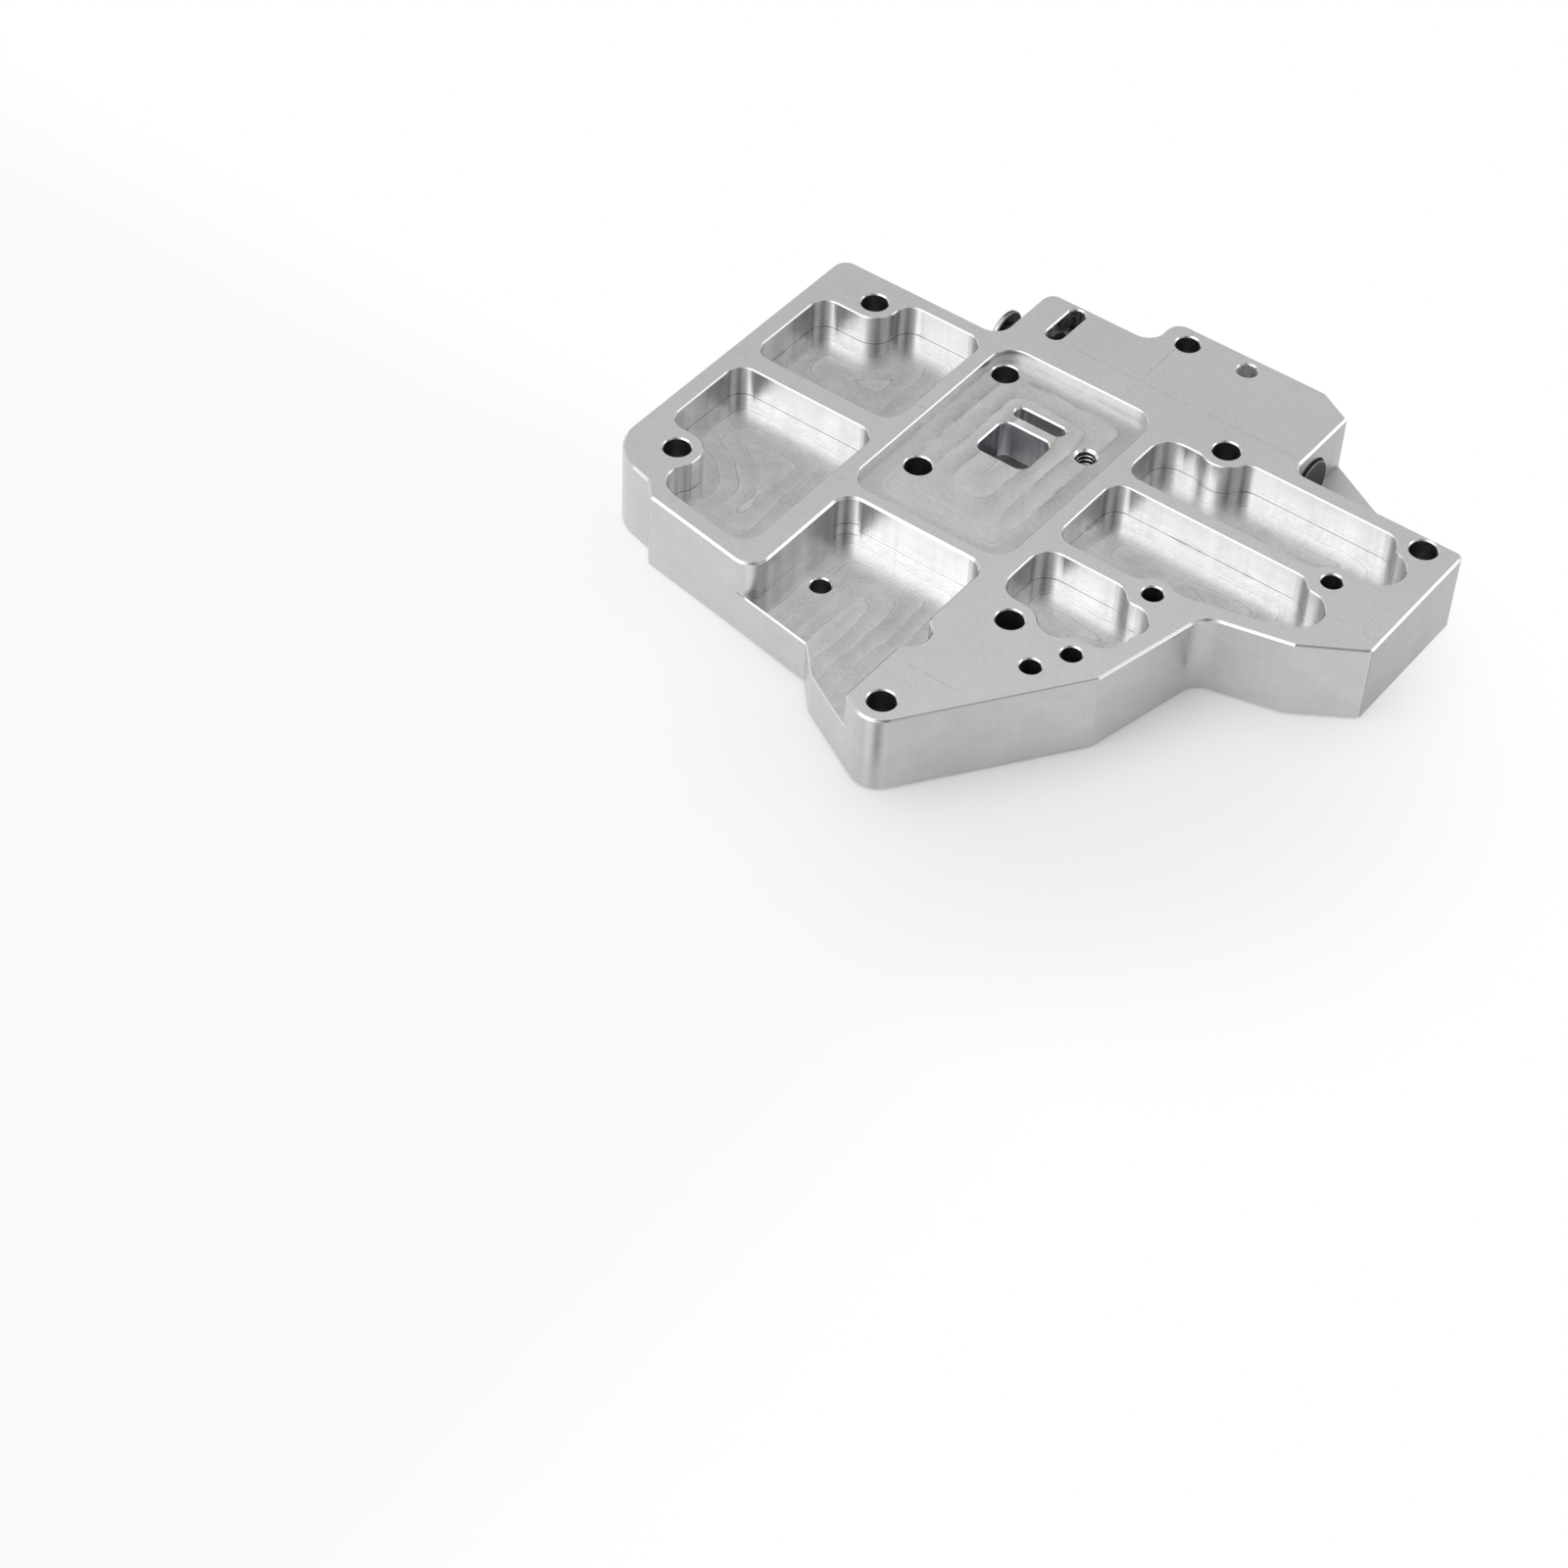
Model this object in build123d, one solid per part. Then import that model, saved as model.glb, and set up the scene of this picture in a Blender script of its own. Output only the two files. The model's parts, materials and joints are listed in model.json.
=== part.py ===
from build123d import *
from math import asin, degrees, radians, sin, tan
import os

# A hydraulic control block milled from aluminium plate, with a steel spool in a cross bore.
# Millimetres. Plan places are measured from the bolt hole in the rounded nose, as from a
# machinist's datum hole. X runs along the spool, Y towards the spool's side and Z up from
# the flat underside.

# Block and its outline
BLOCK_HEIGHT = 23.0
EDGE_CHAMFER = 0.5
CUTTER_RADIUS = 5.0
LEFT_EDGE = -107.2
RIGHT_EDGE = 81.1
BACK_EDGE = 129.0
TAB_LEFT = -56.5
TAB_TOP = 152.5
RISE_LEFT = -24.1
RISE_TOP = 163.6
RISE_RIGHT = 21.8
NOSE_RADIUS = 7.1
LEFT_EAR_RADIUS = 13.4
BACK_CORNER = 4.0
TAB_CORNER = 3.5
FRONT_CORNER = 2.0
SIDE_BEND = (43.2, 72.6)
SIDE_BEND_RADIUS = 6.5
SIDE_SHOULDER = (65.6, 78.1)
SIDE_FOOT = (35.6, 38.7)
RIGHT_CORNER_Y = 88.0
FRONT_STEP_RIGHT = (-24.2, 4.9)
FRONT_STEP_LEFT = (-31.5, 12.8)
FRONT_EDGE_END = (-87.2, 21.6)
EAR_STEP = (-90.9, 25.9)
EAR_FOOT_Y = 30.1

# Moves the finished part so that its origin is the centre of its footprint
PLACEMENT = Pos(-(LEFT_EDGE + RIGHT_EDGE) / 2, -(RISE_TOP - NOSE_RADIUS) / 2, 0)

# Low ledge at the right back corner, where the block is cut down
LEDGE_HEIGHT = 7.0
LEDGE_WALL = 31.5
LEDGE_END = 78.7
NOTCH_WALL = 132.3
NOTCH_CORNER = 3.75
BACK_RIGHT_CORNER = 2.0

# Bolt holes with clearance for a quarter inch bolt, and smaller screw holes
BOLT_HOLE = 7.1
SCREW_HOLE = 5.3
RISE_HOLE = 6.5
HOLE_CHAMFER = 0.35
DATUM_HOLE = (0.0, 0.0)
BACK_LEFT_HOLE = (-89.5, 119.0)
FRONT_LEFT_HOLE = (-93.3, 40.4)
UPPER_POCKET_HOLE = (14.3, 128.0)
BACK_RIGHT_HOLE = (72.1, 127.6)
LOWER_POCKET_HOLE = (7.4, 42.0)
PANEL_BACK_HOLE = (-48.2, 120.2)
PANEL_FRONT_HOLE = (-44.5, 76.5)
UPPER_POCKET_SCREW = (60.6, 103.2)
MIDDLE_POCKET_SCREW = (29.1, 71.5)
LOWER_POCKET_SCREW = (25.7, 41.4)
SIDE_SCREW = (20.5, 31.8)
OPEN_POCKET_SCREW = (-41.2, 31.7)
RISE_SCREW = (1.3, 158.3)
RISE_HOLE_PLACE = (-16.4, 157.4)

# Tapped hole, a quarter inch with 20 threads an inch
TAP_DRILL = 5.1
TAP_COUNTERSINK = 6.4
TAPPED_HOLE_PLACE = (-13.7, 106.4)

# Metal left standing round the holes that reach into a pocket
BOLT_EAR = 6.7
SCREW_EAR = 5.7

# Pockets milled from the top
DEEP_POCKET = 8.5
OPEN_POCKET = 10.3
PANEL_POCKET = 3.1
RIM_CHAMFER = 0.3
SILL_CHAMFER = 0.3
LOBE_BLEND = 3.0

# Left pair of pockets, with a cross wall between them
LEFT_PAIR_LEFT = -101.7
LEFT_PAIR_RIGHT = -57.7
LEFT_PAIR_BACK = 124.2
CROSS_WALL_BACK = 82.7
CROSS_WALL_FRONT = 76.5
FRONT_WALL = 5.3
FRONT_LOBE = (-82.7, 32.5, 6.0)

# Shallow panel with its window, its slot and two of the bolt holes
PANEL_LEFT = -53.0
PANEL_RIGHT = -6.0
PANEL_FRONT = 57.9
PANEL_BACK = 127.1
PANEL_CORNER = 6.5
WINDOW_LEFT = -38.0
WINDOW_RIGHT = -22.8
WINDOW_FRONT = 91.6
WINDOW_BACK = 105.0
WINDOW_CORNER = 2.7
WINDOW_RELIEF_DEPTH = 9.0
WINDOW_RELIEF_STEP = 2.0
SLOT_CENTRE = (-30.4, 110.1)
SLOT_LENGTH = 15.0
SLOT_WIDTH = 3.8

# Pocket that is open at the front
OPEN_POCKET_LEFT = -50.5
OPEN_POCKET_RIGHT = -7.9
OPEN_POCKET_BACK = 53.9
OPEN_POCKET_LOBE = (-10.0, 23.7, 6.0)
MOUTH_CORNER_LEFT = 5.5
MOUTH_CORNER_RIGHT = 1.5

# Right row of pockets, from the back: upper, middle and lower
RIGHT_ROW_LEFT = -1.1
UPPER_FRONT = 104.6
UPPER_BACK_LEFT = 122.7
UPPER_BACK_RIGHT = 127.2
UPPER_RIGHT = 66.8
UPPER_LOBE = (66.6, 115.3, 6.8)
MIDDLE_FRONT = 73.6
MIDDLE_BACK = 100.2
MIDDLE_RIGHT = 57.5
MIDDLE_SIDE_WALL = 4.9
MIDDLE_LOBE = (58.7, 89.9, 6.9)
LOWER_BACK = 69.0
LOWER_RIGHT = 26.0
LOWER_SIDE_WALL = 5.5
LOWER_LOBE = (28.7, 59.3, 6.0)
LOWER_LOBE_OVERRUN = 1.7

# Cross bore and the spool that slides in it
BORE = 14.5
BORE_AXIS_Y = 142.2
BORE_AXIS_Z = 11.5
TAB_SLOT_CENTRE = (-45.6, 143.75)
TAB_SLOT_LENGTH = 14.5
TAB_SLOT_WIDTH = 4.8
SPOOL_CLEARANCE = 0.02
SPOOL_OVERHANG = 1.0
SPOOL_STANDOFF = 5.7
FLANGE = 14.0
FLANGE_THICKNESS = 1.4
FLANGE_GROOVE = 0.25
SPOOL_NECK = 8.0
SPOOL_STEM = 9.0
SPOOL_CHAMFER = 0.3
SPOOL_LANDS = (8.0, 16.0, 12.0, 20.0)


def rounded_face(corners):
    """A flat face with straight sides between (x, y, radius) corners in order."""
    count = len(corners)
    starts = []
    ends = []
    edges = []
    for index, (x, y, radius) in enumerate(corners):
        corner = Vector(x, y)
        before = Vector(*corners[index - 1][:2])
        after = Vector(*corners[(index + 1) % count][:2])
        back = (before - corner).normalized()
        forward = (after - corner).normalized()
        half_angle = radians(back.get_angle(forward)) / 2
        reach = radius / tan(half_angle)
        bulge = radius / sin(half_angle) - radius
        starts.append(corner + back * reach)
        ends.append(corner + forward * reach)
        if radius > 0:
            middle = corner + (back + forward).normalized() * bulge
            edges.append(ThreePointArc(starts[-1], middle, ends[-1]))
    for index in range(count):
        edges.append(Line(ends[index - 1], starts[index]))
    return make_face(edges)


def meeting_point(first, second):
    """Where two plan lines meet. Each line is a point and a direction."""
    (start, run), (other_start, other_run) = first, second
    gap = other_start - start
    spread = run.X * other_run.Y - run.Y * other_run.X
    share = (gap.X * other_run.Y - gap.Y * other_run.X) / spread
    meeting = start + run * share
    return meeting.X, meeting.Y


def tangent_corner(first, second, centre, radius):
    """The corner of two sides that pass through the given points and touch a circle.

    Seen from the circle, the first side is on the right and the second on the left.
    """
    sides = []
    for point, turn in ((first, 1), (second, -1)):
        gap = Vector(*centre) - Vector(*point)
        swing = turn * degrees(asin(radius / gap.length))
        sides.append((Vector(*point), gap.rotate(Axis.Z, swing)))
    return meeting_point(*sides)


def height_on_line(x, first, second):
    """The y of the line through two plan places, at x."""
    slope = (second[1] - first[1]) / (second[0] - first[0])
    return first[1] + slope * (x - first[0])


def with_lobes(face, lobes):
    """A pocket's plan with round lobes, and the metal rounded where each one joins."""
    for x, y, radius in lobes:
        face += Pos(x, y) * Circle(radius)
    return offset(offset(face, LOBE_BLEND), -LOBE_BLEND)


def milled(face, ears=(), lobes=(), cutter=CUTTER_RADIUS):
    """A pocket's plan: the face less its ears, as a round cutter leaves it, and its lobes."""
    for place, radius in ears:
        face -= Pos(*place) * Circle(radius)
    face = offset(offset(face, -cutter), cutter)
    return with_lobes(face, lobes)


def pocket(plan, depth):
    """The metal that a cutter takes out of the block's top, over a plan face."""
    return Pos(0, 0, BLOCK_HEIGHT - depth) * extrude(plan, depth, dir=(0, 0, 1))


def outline():
    """The block's footprint, with the ledge."""
    nose = tangent_corner(SIDE_FOOT, FRONT_STEP_RIGHT, DATUM_HOLE, NOSE_RADIUS)
    return rounded_face([
        (LEFT_EDGE, BACK_EDGE, BACK_CORNER),
        (TAB_LEFT, BACK_EDGE, CUTTER_RADIUS),
        (TAB_LEFT, TAB_TOP, TAB_CORNER),
        (RISE_LEFT, TAB_TOP, CUTTER_RADIUS),
        (RISE_LEFT, RISE_TOP, BACK_CORNER),
        (RISE_RIGHT, RISE_TOP, BACK_RIGHT_CORNER),
        (LEDGE_END, NOTCH_WALL, 0),
        (RIGHT_EDGE, NOTCH_WALL, BACK_RIGHT_CORNER),
        (RIGHT_EDGE, RIGHT_CORNER_Y, BACK_RIGHT_CORNER),
        (*SIDE_SHOULDER, 0),
        (*SIDE_BEND, SIDE_BEND_RADIUS),
        (*SIDE_FOOT, 0),
        (*nose, NOSE_RADIUS),
        (*FRONT_STEP_RIGHT, FRONT_CORNER),
        (*FRONT_STEP_LEFT, FRONT_CORNER),
        (*FRONT_EDGE_END, FRONT_CORNER),
        (*EAR_STEP, FRONT_CORNER),
        (LEFT_EDGE, EAR_FOOT_Y, LEFT_EAR_RADIUS),
    ])


def left_back_pocket():
    """The back pocket of the left pair, stepped round its bolt hole's ear."""
    ear_right = BACK_LEFT_HOLE[0] + BOLT_EAR
    ear_front = BACK_LEFT_HOLE[1] - BOLT_EAR
    return rounded_face([
        (LEFT_PAIR_LEFT, CROSS_WALL_BACK, CUTTER_RADIUS),
        (LEFT_PAIR_RIGHT, CROSS_WALL_BACK, CUTTER_RADIUS),
        (LEFT_PAIR_RIGHT, LEFT_PAIR_BACK, CUTTER_RADIUS),
        (ear_right, LEFT_PAIR_BACK, CUTTER_RADIUS),
        (ear_right, ear_front, BOLT_EAR),
        (LEFT_PAIR_LEFT, ear_front, CUTTER_RADIUS),
    ])


def left_front_pocket():
    """The front pocket of the left pair, with a lobe beside its bolt hole's ear."""
    ear_right = FRONT_LEFT_HOLE[0] + BOLT_EAR
    ear_back = FRONT_LEFT_HOLE[1] + BOLT_EAR
    front_line = (FRONT_STEP_LEFT, FRONT_EDGE_END)
    plan = rounded_face([
        (LEFT_PAIR_LEFT, CROSS_WALL_FRONT, CUTTER_RADIUS),
        (LEFT_PAIR_LEFT, ear_back, CUTTER_RADIUS),
        (ear_right, ear_back, BOLT_EAR),
        (ear_right, height_on_line(ear_right, *front_line) + FRONT_WALL, CUTTER_RADIUS),
        (LEFT_PAIR_RIGHT, height_on_line(LEFT_PAIR_RIGHT, *front_line) + FRONT_WALL, CUTTER_RADIUS),
        (LEFT_PAIR_RIGHT, CROSS_WALL_FRONT, CUTTER_RADIUS),
    ])
    return milled(plan, lobes=[FRONT_LOBE])


def panel():
    """The shallow panel in the middle."""
    return rounded_face([
        (PANEL_LEFT, PANEL_FRONT, PANEL_CORNER),
        (PANEL_RIGHT, PANEL_FRONT, PANEL_CORNER),
        (PANEL_RIGHT, PANEL_BACK, PANEL_CORNER),
        (PANEL_LEFT, PANEL_BACK, PANEL_CORNER),
    ])


def window(step=0.0):
    """The window's plan, grown by a step on all sides."""
    corner = WINDOW_CORNER + step
    return rounded_face([
        (WINDOW_LEFT - step, WINDOW_FRONT - step, corner),
        (WINDOW_RIGHT + step, WINDOW_FRONT - step, corner),
        (WINDOW_RIGHT + step, WINDOW_BACK + step, corner),
        (WINDOW_LEFT - step, WINDOW_BACK + step, corner),
    ])


def open_pocket():
    """The pocket that runs out through the block's front edge."""
    beyond = -NOSE_RADIUS - CUTTER_RADIUS
    plan = rounded_face([
        (OPEN_POCKET_LEFT, beyond, 0),
        (OPEN_POCKET_RIGHT, beyond, 0),
        (OPEN_POCKET_RIGHT, OPEN_POCKET_BACK, CUTTER_RADIUS),
        (OPEN_POCKET_LEFT, OPEN_POCKET_BACK, CUTTER_RADIUS),
    ])
    return with_lobes(plan, [OPEN_POCKET_LOBE])


def upper_pocket():
    """The back pocket of the right row, round two ears."""
    step_x = UPPER_POCKET_HOLE[0]
    plan = rounded_face([
        (RIGHT_ROW_LEFT, UPPER_FRONT, 0),
        (UPPER_RIGHT, UPPER_FRONT, 0),
        (UPPER_RIGHT, UPPER_BACK_RIGHT, 0),
        (step_x, UPPER_BACK_RIGHT, 0),
        (step_x, UPPER_BACK_LEFT, 0),
        (RIGHT_ROW_LEFT, UPPER_BACK_LEFT, PANEL_CORNER),
    ])
    ears = [(UPPER_POCKET_HOLE, BOLT_EAR), (UPPER_POCKET_SCREW, SCREW_EAR)]
    return milled(plan, ears, [UPPER_LOBE])


def middle_pocket():
    """The middle pocket of the right row, with a wall along the block's slanted side."""
    side_line = (SIDE_BEND, SIDE_SHOULDER)
    wall_at_right = height_on_line(MIDDLE_RIGHT, *side_line) + MIDDLE_SIDE_WALL
    wall_at_screw = height_on_line(MIDDLE_POCKET_SCREW[0], *side_line) + MIDDLE_SIDE_WALL
    plan = rounded_face([
        (RIGHT_ROW_LEFT, MIDDLE_FRONT, 0),
        (MIDDLE_POCKET_SCREW[0], MIDDLE_FRONT, 0),
        (MIDDLE_POCKET_SCREW[0], wall_at_screw, 0),
        (MIDDLE_RIGHT, wall_at_right, 0),
        (MIDDLE_RIGHT, MIDDLE_BACK, 0),
        (RIGHT_ROW_LEFT, MIDDLE_BACK, 0),
    ])
    return milled(plan, [(MIDDLE_POCKET_SCREW, SCREW_EAR)], [MIDDLE_LOBE])


def lower_pocket():
    """The front pocket of the right row, which dips between two ears."""
    ear_back = LOWER_POCKET_HOLE[1] + BOLT_EAR
    screw_ear_back = LOWER_POCKET_SCREW[1] + SCREW_EAR
    lean = (SIDE_BEND[0] - SIDE_FOOT[0]) / (SIDE_BEND[1] - SIDE_FOOT[1])
    wall_foot = SIDE_FOOT[0] - LOWER_SIDE_WALL
    wall_top_y = LOWER_LOBE[1] + LOWER_LOBE_OVERRUN
    plan = rounded_face([
        (RIGHT_ROW_LEFT, LOWER_BACK, 0),
        (RIGHT_ROW_LEFT, ear_back, 0),
        (LOWER_POCKET_HOLE[0], ear_back, 0),
        (*LOWER_POCKET_HOLE, 0),
        (*LOWER_POCKET_SCREW, 0),
        (LOWER_POCKET_SCREW[0], screw_ear_back, 0),
        (wall_foot + lean * (screw_ear_back - SIDE_FOOT[1]), screw_ear_back, 0),
        (wall_foot + lean * (wall_top_y - SIDE_FOOT[1]), wall_top_y, 0),
        (LOWER_RIGHT, wall_top_y, 0),
        (LOWER_RIGHT, LOWER_BACK, 0),
    ])
    ears = [(LOWER_POCKET_HOLE, BOLT_EAR), (LOWER_POCKET_SCREW, SCREW_EAR)]
    return milled(plan, ears, [LOWER_LOBE], LOWER_LOBE[2])


def blank():
    """The block before its pockets and holes, with the ledge cut down."""
    block = extrude(outline(), BLOCK_HEIGHT)
    beyond_x = RIGHT_EDGE + CUTTER_RADIUS
    beyond_y = RISE_TOP + CUTTER_RADIUS
    notch = rounded_face([
        (LEDGE_WALL, NOTCH_WALL, NOTCH_CORNER),
        (beyond_x, NOTCH_WALL, 0),
        (beyond_x, beyond_y, 0),
        (LEDGE_WALL, beyond_y, 0),
    ])
    return block - pocket(notch, BLOCK_HEIGHT - LEDGE_HEIGHT)


def deep_pockets():
    """The five closed pockets of one depth."""
    plans = (left_back_pocket(), left_front_pocket(), upper_pocket(), middle_pocket(), lower_pocket())
    return [pocket(plan, DEEP_POCKET) for plan in plans]


def with_mouth_corners(block):
    """The block with the open pocket's walls rounded where they reach the front."""
    depth = OPEN_POCKET
    middle = BLOCK_HEIGHT - depth / 2
    front_line = (FRONT_STEP_LEFT, FRONT_EDGE_END)
    nose_line = (DATUM_HOLE, FRONT_STEP_RIGHT)
    mouths = (
        (OPEN_POCKET_LEFT, height_on_line(OPEN_POCKET_LEFT, *front_line), MOUTH_CORNER_LEFT),
        (OPEN_POCKET_RIGHT, height_on_line(OPEN_POCKET_RIGHT, *nose_line) - NOSE_RADIUS, MOUTH_CORNER_RIGHT),
    )
    for x, y, radius in mouths:
        upright = block.edges().filter_by(Axis.Z)
        walls = upright.filter_by(lambda edge: abs(edge.length - depth) < EDGE_CHAMFER)
        block = fillet(walls.sort_by_distance((x, y, middle))[0], radius)
    return block


def edges_at(block, height):
    """The block's level edges that lie at one height."""
    level = block.edges().filter_by(Plane.XY)
    return level.filter_by(lambda edge: abs(edge.center().Z - height) < 0.001)


def with_broken_edges(block):
    """The block with a small chamfer on its upper and lower edges."""
    for height in (BLOCK_HEIGHT, 0):
        block = chamfer(edges_at(block, height), EDGE_CHAMFER)
    return block


def with_broken_sill(block):
    """The block with a fine chamfer where the open pocket's floor runs out at the front."""
    mouth = edges_at(block, BLOCK_HEIGHT - OPEN_POCKET)
    mouth = mouth.filter_by_position(Axis.X, OPEN_POCKET_LEFT - MOUTH_CORNER_LEFT, OPEN_POCKET_RIGHT - SILL_CHAMFER)
    sill = mouth.filter_by(GeomType.LINE).filter_by_position(Axis.Y, -NOSE_RADIUS, FRONT_EDGE_END[1])
    return chamfer(sill, SILL_CHAMFER)


def with_broken_rims(block):
    """The block with a finer chamfer round the pockets that its top face closes in."""
    top = block.faces().filter_by(Plane.XY).sort_by(Axis.Z)[-1]
    rims = [edge for wire in top.inner_wires() for edge in wire.edges()]
    return chamfer(rims, RIM_CHAMFER)


def rim_cone(place, diameter, top, flip=False):
    """The cone that breaks a hole's rim, wide end at the top, or at the bottom if flipped."""
    wide = diameter / 2 + HOLE_CHAMFER
    cone = Cone(diameter / 2, wide, HOLE_CHAMFER, align=(Align.CENTER, Align.CENTER, Align.MAX))
    if flip:
        cone = Rot(180, 0, 0) * cone
    return Pos(*place, top) * cone


def drilled(place, diameter, top):
    """A hole right through, with both rims broken."""
    shaft = Pos(*place) * Cylinder(diameter / 2, BLOCK_HEIGHT, align=(Align.CENTER, Align.CENTER, Align.MIN))
    return shaft + rim_cone(place, diameter, top) + rim_cone(place, diameter, 0, flip=True)


def holes():
    """All plain holes. Each starts at the block's top or at the floor of its pocket."""
    panel_floor = BLOCK_HEIGHT - PANEL_POCKET
    open_floor = BLOCK_HEIGHT - OPEN_POCKET
    bolts = (DATUM_HOLE, BACK_LEFT_HOLE, FRONT_LEFT_HOLE)
    bolts += (UPPER_POCKET_HOLE, BACK_RIGHT_HOLE, LOWER_POCKET_HOLE)
    screws = (UPPER_POCKET_SCREW, MIDDLE_POCKET_SCREW, LOWER_POCKET_SCREW, SIDE_SCREW, RISE_SCREW)
    cutters = [drilled(place, BOLT_HOLE, BLOCK_HEIGHT) for place in bolts]
    cutters += [drilled(place, SCREW_HOLE, BLOCK_HEIGHT) for place in screws]
    cutters += [drilled(place, BOLT_HOLE, panel_floor) for place in (PANEL_BACK_HOLE, PANEL_FRONT_HOLE)]
    cutters.append(drilled(OPEN_POCKET_SCREW, SCREW_HOLE, open_floor))
    cutters.append(drilled(RISE_HOLE_PLACE, RISE_HOLE, BLOCK_HEIGHT))
    return cutters


def tapped_hole():
    """The tapped hole's core, with the countersink that leads a bolt in. The thread is not cut."""
    floor = BLOCK_HEIGHT - PANEL_POCKET
    core = drilled(TAPPED_HOLE_PLACE, TAP_DRILL, floor)
    sink = (TAP_COUNTERSINK - TAP_DRILL) / 2
    cone = Cone(TAP_DRILL / 2, TAP_COUNTERSINK / 2, sink, align=(Align.CENTER, Align.CENTER, Align.MAX))
    return core + Pos(*TAPPED_HOLE_PLACE, floor) * cone


def broken_rim(plan, floor):
    """The bevel round an opening's rim in a floor."""
    grown = offset(plan, HOLE_CHAMFER)
    return Pos(0, 0, floor) * loft([Pos(0, 0, -HOLE_CHAMFER) * plan, grown])


def slot(centre, length, width, turn=0):
    """A slot's plan with round ends, given its whole length."""
    return Pos(*centre) * Rot(0, 0, turn) * SlotOverall(length, width)


def panel_openings():
    """The window and the slot in the panel. The window opens out below into a wider recess."""
    floor = BLOCK_HEIGHT - PANEL_POCKET
    plans = (window(), slot(SLOT_CENTRE, SLOT_LENGTH, SLOT_WIDTH))
    cutters = [extrude(plan, floor, dir=(0, 0, 1)) for plan in plans]
    cutters += [broken_rim(plan, floor) for plan in plans]
    cutters.append(extrude(window(WINDOW_RELIEF_STEP), WINDOW_RELIEF_DEPTH, dir=(0, 0, 1)))
    return cutters


def x_rod(start, end, diameter):
    """A round rod along the cross bore's axis, from one x to another."""
    middle = Pos((start + end) / 2, BORE_AXIS_Y, BORE_AXIS_Z)
    return middle * Rot(0, 90, 0) * Cylinder(diameter / 2, end - start)


def x_cone(start, end, start_diameter, end_diameter):
    """A cone along the cross bore's axis, from one x to another."""
    middle = Pos((start + end) / 2, BORE_AXIS_Y, BORE_AXIS_Z)
    return middle * Rot(0, 90, 0) * Cone(start_diameter / 2, end_diameter / 2, end - start)


def cross_bore():
    """The bore for the spool, which runs on as a groove in the ledge, and the slot above it."""
    wide = BORE + 2 * EDGE_CHAMFER
    right_mouth = x_cone(LEDGE_WALL - EDGE_CHAMFER, LEDGE_WALL, BORE, wide)
    above_ledge = Pos(LEDGE_WALL, BORE_AXIS_Y, LEDGE_HEIGHT) * Box(
        BORE, wide, BORE, align=(Align.CENTER, Align.CENTER, Align.MIN))
    plan = slot(TAB_SLOT_CENTRE, TAB_SLOT_LENGTH, TAB_SLOT_WIDTH, 90)
    return [
        x_rod(TAB_LEFT, RIGHT_EDGE, BORE),
        x_cone(TAB_LEFT, TAB_LEFT + EDGE_CHAMFER, wide, BORE),
        right_mouth & above_ledge,
        pocket(plan, BLOCK_HEIGHT - BORE_AXIS_Z),
        broken_rim(plan, BLOCK_HEIGHT),
    ]


def valve_body():
    """The whole milled block."""
    block = blank() - pocket(open_pocket(), OPEN_POCKET)
    block = with_broken_sill(with_broken_edges(with_mouth_corners(block)))
    for cutter in [*deep_pockets(), pocket(panel(), PANEL_POCKET)]:
        block -= cutter
    block = with_broken_rims(block)
    for cutter in [*holes(), tapped_hole(), *panel_openings(), *cross_bore()]:
        block -= cutter
    return block


def broken_rod(start, end, diameter):
    """A full-width stretch of the spool, with its two edges broken."""
    narrow = diameter - 2 * SPOOL_CHAMFER
    rod = x_rod(start + SPOOL_CHAMFER, end - SPOOL_CHAMFER, diameter)
    rod += x_cone(start, start + SPOOL_CHAMFER, narrow, diameter)
    rod += x_cone(end - SPOOL_CHAMFER, end, diameter, narrow)
    return rod


def spool():
    """The turned spool: an end flange, a neck, and lands on a thinner stem."""
    land = BORE - 2 * SPOOL_CLEARANCE
    flange_right = TAB_LEFT - SPOOL_STANDOFF
    flange_left = flange_right - FLANGE_THICKNESS
    left_end = TAB_LEFT + EDGE_CHAMFER
    right_end = LEDGE_WALL + SPOOL_OVERHANG
    gap = (right_end - left_end - sum(SPOOL_LANDS)) / (len(SPOOL_LANDS) - 1)
    body = broken_rod(flange_left, flange_right, FLANGE)
    groove_left = (flange_left + flange_right - FLANGE_GROOVE) / 2
    groove_right = groove_left + FLANGE_GROOVE
    ring = x_rod(groove_left, groove_right, FLANGE + FLANGE_GROOVE)
    body -= ring - x_rod(groove_left, groove_right, FLANGE - FLANGE_GROOVE)
    body += x_rod(flange_right, left_end, SPOOL_NECK)
    body += x_rod(left_end, right_end, SPOOL_STEM)
    start = left_end
    for length in SPOOL_LANDS[:-1]:
        body += x_rod(start, start + length, land)
        start += length + gap
    return body + broken_rod(right_end - SPOOL_LANDS[-1], right_end, land)


os.makedirs("parts", exist_ok=True)
export_step(PLACEMENT * valve_body(), "parts/valve_body.step")
export_step(PLACEMENT * spool(), "parts/manual_valve.step")
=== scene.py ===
import bmesh
import bpy
import json
from math import pi
from mathutils import Matrix, Vector
from mathutils.bvhtree import BVHTree

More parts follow.
